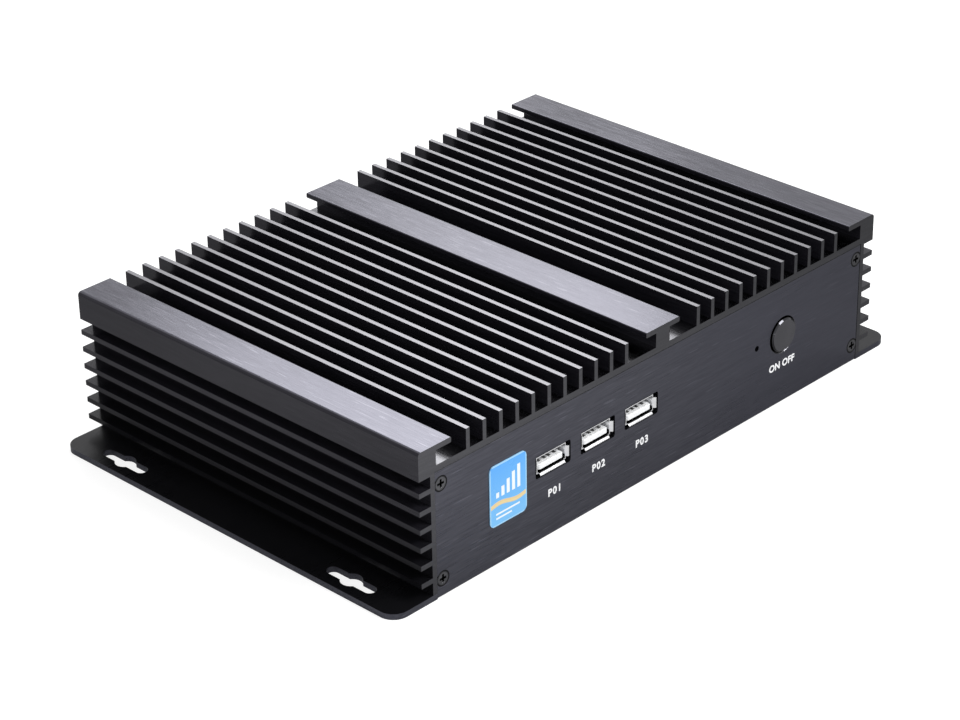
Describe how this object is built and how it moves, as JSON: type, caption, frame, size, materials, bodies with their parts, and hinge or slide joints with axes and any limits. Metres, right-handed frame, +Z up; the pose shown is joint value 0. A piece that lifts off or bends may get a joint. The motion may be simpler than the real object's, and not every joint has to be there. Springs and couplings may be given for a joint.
{
  "type": "fanless industrial pc",
  "caption": "Compact sealed computer: a finned aluminium casing cools it without a fan, on a slotted flange plate, with sockets and a power button on its end panels.",
  "frame": {"origin": "centre of the base plate underside, under the middle of the casing", "axes": "+X along the front panel to the right seen from the front, -Y out of the front panel, +Z up through the fins"},
  "size_m": [0.2384, 0.1583, 0.0524],
  "materials": {
    "anodised_black": "black anodised extrusion, fine brushed lines along the fins",
    "anodised_plate": "black anodised sheet, fine brushed lines",
    "button_black": "black anodised, turned, with a bright bevel",
    "screw_black": "black oxide steel, cross recess",
    "socket_steel": "bright nickel plated sheet",
    "white_plastic": "smooth moulded",
    "black_plastic": "moulded, slightly rough",
    "blue_plastic": "moulded",
    "contact_gold": "gold plated or plain brass",
    "bright_steel": "nickel plated",
    "circuit_board": "green solder mask on laminate",
    "chip_black": "moulded package",
    "bare_aluminium": "milled, bare",
    "thermal_pad": "soft filled silicone",
    "badge_blue": "thin printed film under a clear layer",
    "lamp_clear": "clear moulded lens",
    "lamp_amber": "clear amber moulded",
    "plunger_plastic": "moulded"
  },
  "bodies": {
    "casing": {"audio_jacks": "black_plastic", "badge_sticker": "badge_blue", "base_plate": "anodised_plate", "base_plate_screws": "screw_black", "board_capacitors": "bare_aluminium", "board_chips": "chip_black", "board_coils": "chip_black", "board_screws": "bright_steel", "board_spacers": "contact_gold", "button_board": "circuit_board", "cell_holder": "black_plastic", "coin_cell": "bright_steel", "display_insert": "blue_plastic", "display_shell": "socket_steel", "finned_housing": "anodised_black", "front_data_contacts": "contact_gold", "front_data_insert_1": "white_plastic", "front_data_insert_2": "white_plastic", "front_data_insert_3": "white_plastic", "front_data_shell_1": "socket_steel", "front_data_shell_2": "socket_steel", "front_data_shell_3": "socket_steel", "front_panel": "anodised_plate", "front_panel_screws": "screw_black", "heat_block": "bare_aluminium", "heat_block_screws": "bright_steel", "jack_screws": "bright_steel", "lan_contacts": "contact_gold", "lan_insert_1": "black_plastic", "lan_insert_2": "black_plastic", "lan_lamps": "lamp_amber", "lan_shell_1": "socket_steel", "lan_shell_2": "socket_steel", "mainboard": "circuit_board", "memory_module": "circuit_board", "memory_socket": "black_plastic", "power_jack": "black_plastic", "power_jack_pin": "bright_steel", "processor": "chip_black", "rear_data_contacts": "contact_gold", "rear_data_insert_1": "black_plastic", "rear_data_insert_2": "black_plastic", "rear_data_shell_1": "socket_steel", "rear_data_shell_2": "socket_steel", "rear_panel": "anodised_plate", "rear_panel_screws": "screw_black", "serial_block": "black_plastic", "serial_pins": "contact_gold", "serial_shell": "socket_steel", "ssd_module": "circuit_board", "ssd_screws": "bright_steel", "ssd_socket": "black_plastic", "status_lamp": "lamp_clear", "switch_body": "black_plastic", "thermal_pads": "thermal_pad", "video_insert": "black_plastic", "video_shell": "socket_steel"},
    "button": {"power_button": "button_black", "switch_plunger": "plunger_plastic"}
  },
  "joints": [
    {"name": "power_button_press", "type": "slide", "parent": "casing", "child": "button", "axis": [0, 1, 0], "range_m": [0, 0.0008], "stiffness_N_per_m": 800}
  ]
}
